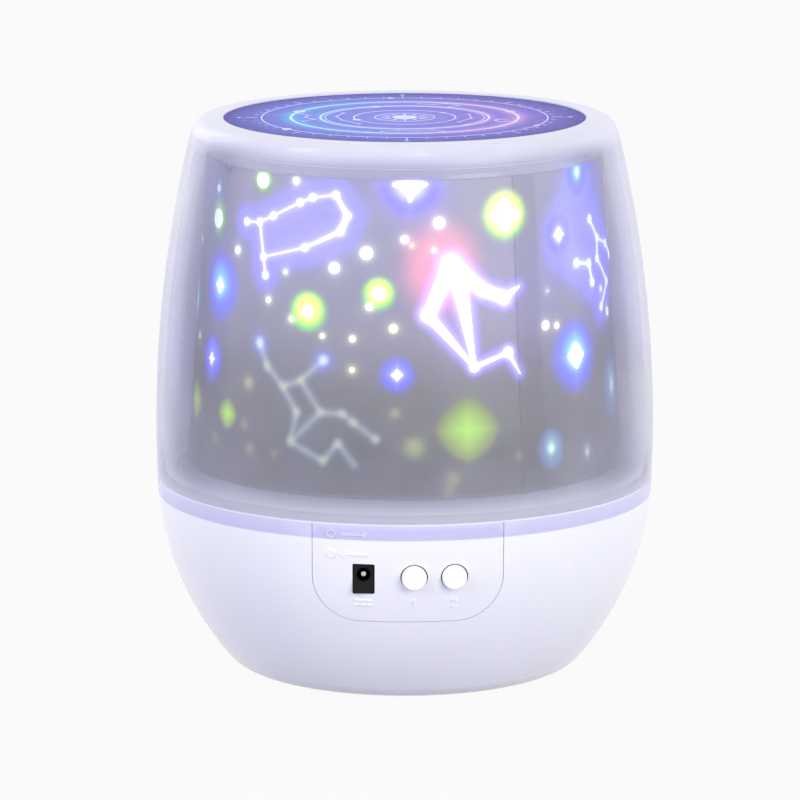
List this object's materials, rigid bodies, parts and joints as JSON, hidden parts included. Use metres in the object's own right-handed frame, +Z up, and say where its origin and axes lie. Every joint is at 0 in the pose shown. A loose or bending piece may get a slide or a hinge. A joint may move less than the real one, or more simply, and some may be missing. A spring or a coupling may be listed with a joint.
{
  "type": "star night light projector",
  "caption": "Barrel-shaped bedside star projector lamp: frosted cover over a turning film drum, round base with a front panel of push buttons and a power inlet.",
  "frame": {"origin": "centre of the resting plane, under the feet, on the globe's axis", "axes": "+Z up along the globe's axis, -Y out through the button panel, +X to the viewer's right"},
  "size_m": [0.128, 0.128, 0.1424],
  "materials": {
    "white_abs": "smooth gloss",
    "frosted_cover": "frosted translucent",
    "clear_polystyrene": "clear moulded",
    "printed_film": "printed translucent film",
    "label_print": "gloss laminated print",
    "natural_nylon": "moulded",
    "grey_abs": "fine matt",
    "black_plastic": "moulded",
    "nickel_plate": "nickel plated",
    "zinc_steel": "zinc plated",
    "spring_steel": "drawn wire",
    "foot_rubber": "matt",
    "cell_jacket": "foil jacket",
    "circuit_laminate": "solder mask",
    "chip_epoxy": "moulded",
    "ferrite": "sintered",
    "lamination_steel": "stamped stack",
    "lamp_clear": "clear epoxy",
    "lamp_blue": "tinted epoxy",
    "lamp_green": "tinted epoxy",
    "lamp_red": "tinted epoxy",
    "wire_insulation": "extruded"
  },
  "bodies": {
    "base": {"base_shell": "white_abs", "bottom_cover": "white_abs", "bottom_screws": "zinc_steel", "rubber_feet": "foot_rubber", "battery_cells": "cell_jacket", "battery_contacts": "nickel_plate", "battery_springs": "spring_steel", "control_panel": "white_abs", "control_board": "circuit_laminate", "board_screws": "zinc_steel", "control_chip": "chip_epoxy", "board_parts": "chip_epoxy", "dc_jack_housing": "black_plastic", "dc_jack_pin": "nickel_plate", "switch_housings": "black_plastic", "deck_plate": "grey_abs", "deck_screws": "zinc_steel", "gearbox_case": "grey_abs", "gearbox_screws": "zinc_steel", "gear_axles": "spring_steel", "motor_can": "zinc_steel", "motor_end_cap": "black_plastic", "motor_magnet": "ferrite", "motor_screws": "zinc_steel", "lamp_post": "grey_abs", "post_screws": "zinc_steel", "led_board": "circuit_laminate", "led_white": "lamp_clear", "led_blue": "lamp_blue", "led_green": "lamp_green", "led_red": "lamp_red", "thrust_washer": "natural_nylon", "retaining_ring": "spring_steel", "lamp_wires": "wire_insulation", "battery_wires": "wire_insulation", "motor_wires": "wire_insulation"},
    "battery_door": {"battery_door": "white_abs"},
    "button_a": {"button_cap_a": "white_abs", "switch_plunger_a": "black_plastic"},
    "button_b": {"button_cap_b": "white_abs", "switch_plunger_b": "black_plastic"},
    "turntable": {"turntable": "grey_abs", "ring_gear": "natural_nylon", "film_carrier": "clear_polystyrene", "side_film": "printed_film", "top_film": "printed_film"},
    "drive_gear": {"drive_gear": "natural_nylon"},
    "idler_gear": {"idler_gear": "natural_nylon"},
    "motor_rotor": {"motor_armature": "lamination_steel", "motor_shaft": "spring_steel", "motor_pinion": "natural_nylon"},
    "cover_seat": {"seat_ring": "natural_nylon"},
    "cover": {"cover": "frosted_cover", "top_label": "label_print"}
  },
  "joints": [
    {"name": "turntable_spin", "type": "hinge", "parent": "base", "child": "turntable", "pos_m": [0, 0, 0.0475], "axis": [0, 0, 1], "continuous": true},
    {"name": "drive_gear_spin", "type": "hinge", "parent": "base", "child": "drive_gear", "pos_m": [0, 0.035, 0.037], "axis": [0, 0, 1], "continuous": true},
    {"name": "idler_gear_spin", "type": "hinge", "parent": "base", "child": "idler_gear", "pos_m": [0.01299, 0.0275, 0.0335], "axis": [0, 0, 1], "continuous": true},
    {"name": "motor_spin", "type": "hinge", "parent": "base", "child": "motor_rotor", "pos_m": [0.0156, 0.01273, 0.027], "axis": [0, 0, 1], "continuous": true},
    {"name": "button_a_press", "type": "slide", "parent": "base", "child": "button_a", "axis": [0, 1, 0], "range_m": [0, 0.0006], "stiffness_N_per_m": 1000, "springref_m": -0.0006},
    {"name": "button_b_press", "type": "slide", "parent": "base", "child": "button_b", "axis": [0, 1, 0], "range_m": [0, 0.0006], "stiffness_N_per_m": 1000, "springref_m": -0.0006},
    {"name": "cover_twist", "type": "hinge", "parent": "base", "child": "cover_seat", "pos_m": [0, 0, 0.05], "axis": [0, 0, 1], "range_deg": [0, 18]},
    {"name": "cover_lift", "type": "slide", "parent": "cover_seat", "child": "cover", "axis": [0, 0, 1], "range_m": [0, 0.13]},
    {"name": "battery_door_hinge", "type": "hinge", "parent": "base", "child": "battery_door", "pos_m": [0, -0.0236, 0.0016], "axis": [-1, 0, 0], "range_deg": [0, 75]}
  ],
  "couplings": [
    {"joint": "drive_gear_spin", "follows": "turntable_spin", "ratio": -4},
    {"joint": "idler_gear_spin", "follows": "turntable_spin", "ratio": 16},
    {"joint": "motor_spin", "follows": "turntable_spin", "ratio": -64}
  ]
}
